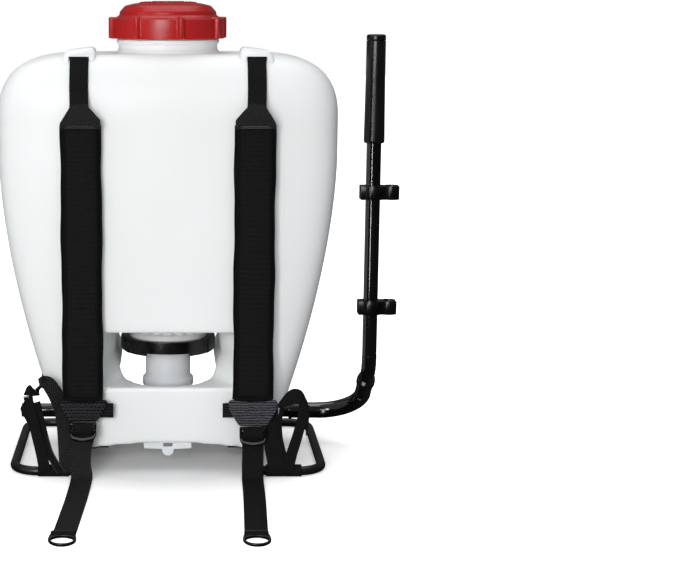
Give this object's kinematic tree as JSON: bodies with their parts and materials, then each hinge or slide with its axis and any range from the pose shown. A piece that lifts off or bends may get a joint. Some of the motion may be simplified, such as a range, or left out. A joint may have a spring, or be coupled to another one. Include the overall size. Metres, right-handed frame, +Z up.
{
  "type": "backpack sprayer",
  "caption": "Moulded tank worn on the back, with a screw cap, a piston pump worked by a folding side lever, a rod base and a padded webbing harness.",
  "frame": {"origin": "on the floor, below the pump's axis, midway between the sides of the base", "axes": "+Z up, +X along the pump shaft towards the lever, -Y towards the wearer's back"},
  "size_m": [0.4383, 0.4462, 0.511],
  "materials": {
    "tank_plastic": "translucent white, satin",
    "white_plastic": "white, satin",
    "pump_plastic": "translucent natural",
    "red_plastic": "gloss red",
    "black_plastic": "satin black",
    "rubber_black": "matt",
    "grip_rubber": "satin black",
    "black_paint": "gloss black",
    "frame_paint": "satin black",
    "steel": "zinc plated",
    "webbing": "woven",
    "pad_cloth": "ribbed",
    "tab_cloth": "woven, bar-tacked"
  },
  "bodies": {
    "sprayer": {"tank": "tank_plastic", "strap_lug_left": "white_plastic", "strap_lug_right": "white_plastic", "strainer_basket": "white_plastic", "pump_ring_nut": "black_plastic", "pump_gasket": "rubber_black", "pump_cylinder": "white_plastic", "shaft_bush_left": "white_plastic", "shaft_bush_right": "white_plastic", "bracket_left": "black_paint", "bracket_right": "black_paint", "bracket_screws": "steel", "base_frame": "frame_paint", "upper_web_left": "webbing", "upper_web_right": "webbing", "pad_left": "pad_cloth", "pad_right": "pad_cloth", "pad_tab_left": "tab_cloth", "pad_tab_right": "tab_cloth", "buckle_left": "black_plastic", "buckle_right": "black_plastic", "lower_web_left": "webbing", "lower_web_right": "webbing", "tail_left": "webbing", "tail_right": "webbing", "pull_ring_left": "black_plastic", "pull_ring_right": "black_plastic", "drain_flap": "white_plastic"},
    "cap_lifter": {"cap_gasket": "rubber_black"},
    "cap": {"filler_cap": "red_plastic", "vent_valve": "rubber_black"},
    "plunger": {"plunger_tube": "pump_plastic", "piston_seal": "rubber_black", "outlet_barb": "black_plastic", "pump_clevis": "black_plastic", "clevis_pin": "steel"},
    "inlet_disc": {"inlet_valve": "rubber_black"},
    "outlet_ball": {"outlet_valve": "steel"},
    "shaft": {"pump_shaft": "black_paint", "swing_arm": "black_paint", "crank_arm": "black_paint", "crank_pin": "steel", "shaft_washers": "steel", "cotter_pins": "steel"},
    "link": {"link_rod": "steel"},
    "button": {"lock_button": "steel"},
    "lever": {"lever_tube": "black_paint", "lever_grip": "grip_rubber", "grip_cap": "grip_rubber", "wand_clip_lower": "black_plastic", "wand_clip_upper": "black_plastic"}
  },
  "joints": [
    {"name": "pump_stroke", "type": "hinge", "parent": "sprayer", "child": "shaft", "pos_m": [0, 0.041, 0.037], "axis": [-1, 0, 0], "range_deg": [0, 32]},
    {"name": "link_swing", "type": "hinge", "parent": "shaft", "child": "link", "pos_m": [0, 0.00094, 0.02437], "axis": [-1, 0, 0], "range_deg": [-35, 0]},
    {"name": "plunger_lift", "type": "slide", "parent": "sprayer", "child": "plunger", "axis": [0, 0, 1], "range_m": [0, 0.02546]},
    {"name": "inlet_lift", "type": "slide", "parent": "sprayer", "child": "inlet_disc", "axis": [0, 0, 1], "range_m": [0, 0.003]},
    {"name": "outlet_lift", "type": "slide", "parent": "plunger", "child": "outlet_ball", "axis": [0, 0, 1], "range_m": [0, 0.004]},
    {"name": "lever_fold", "type": "hinge", "parent": "shaft", "child": "lever", "pos_m": [0.224, -0.049, 0.10859], "axis": [0, 0.7826, -0.6225], "range_deg": [0, 180]},
    {"name": "lock_press", "type": "slide", "parent": "shaft", "child": "button", "axis": [0, 1, 0], "range_m": [0, 0.003], "stiffness_N_per_m": 300, "springref_m": -0.002},
    {"name": "cap_lift", "type": "slide", "parent": "sprayer", "child": "cap_lifter", "axis": [0, 0, 1], "range_m": [0, 0.0181]},
    {"name": "cap_turn", "type": "hinge", "parent": "cap_lifter", "child": "cap", "pos_m": [0, 0, 0.492], "axis": [0, 0, 1], "range_deg": [0, 1080]}
  ],
  "couplings": [
    {"joint": "link_swing", "follows": "pump_stroke", "ratio": -1},
    {"joint": "plunger_lift", "follows": "pump_stroke", "m_per_rad": 0.04135},
    {"joint": "cap_lift", "follows": "cap_turn", "m_per_rad": 0.000955}
  ]
}
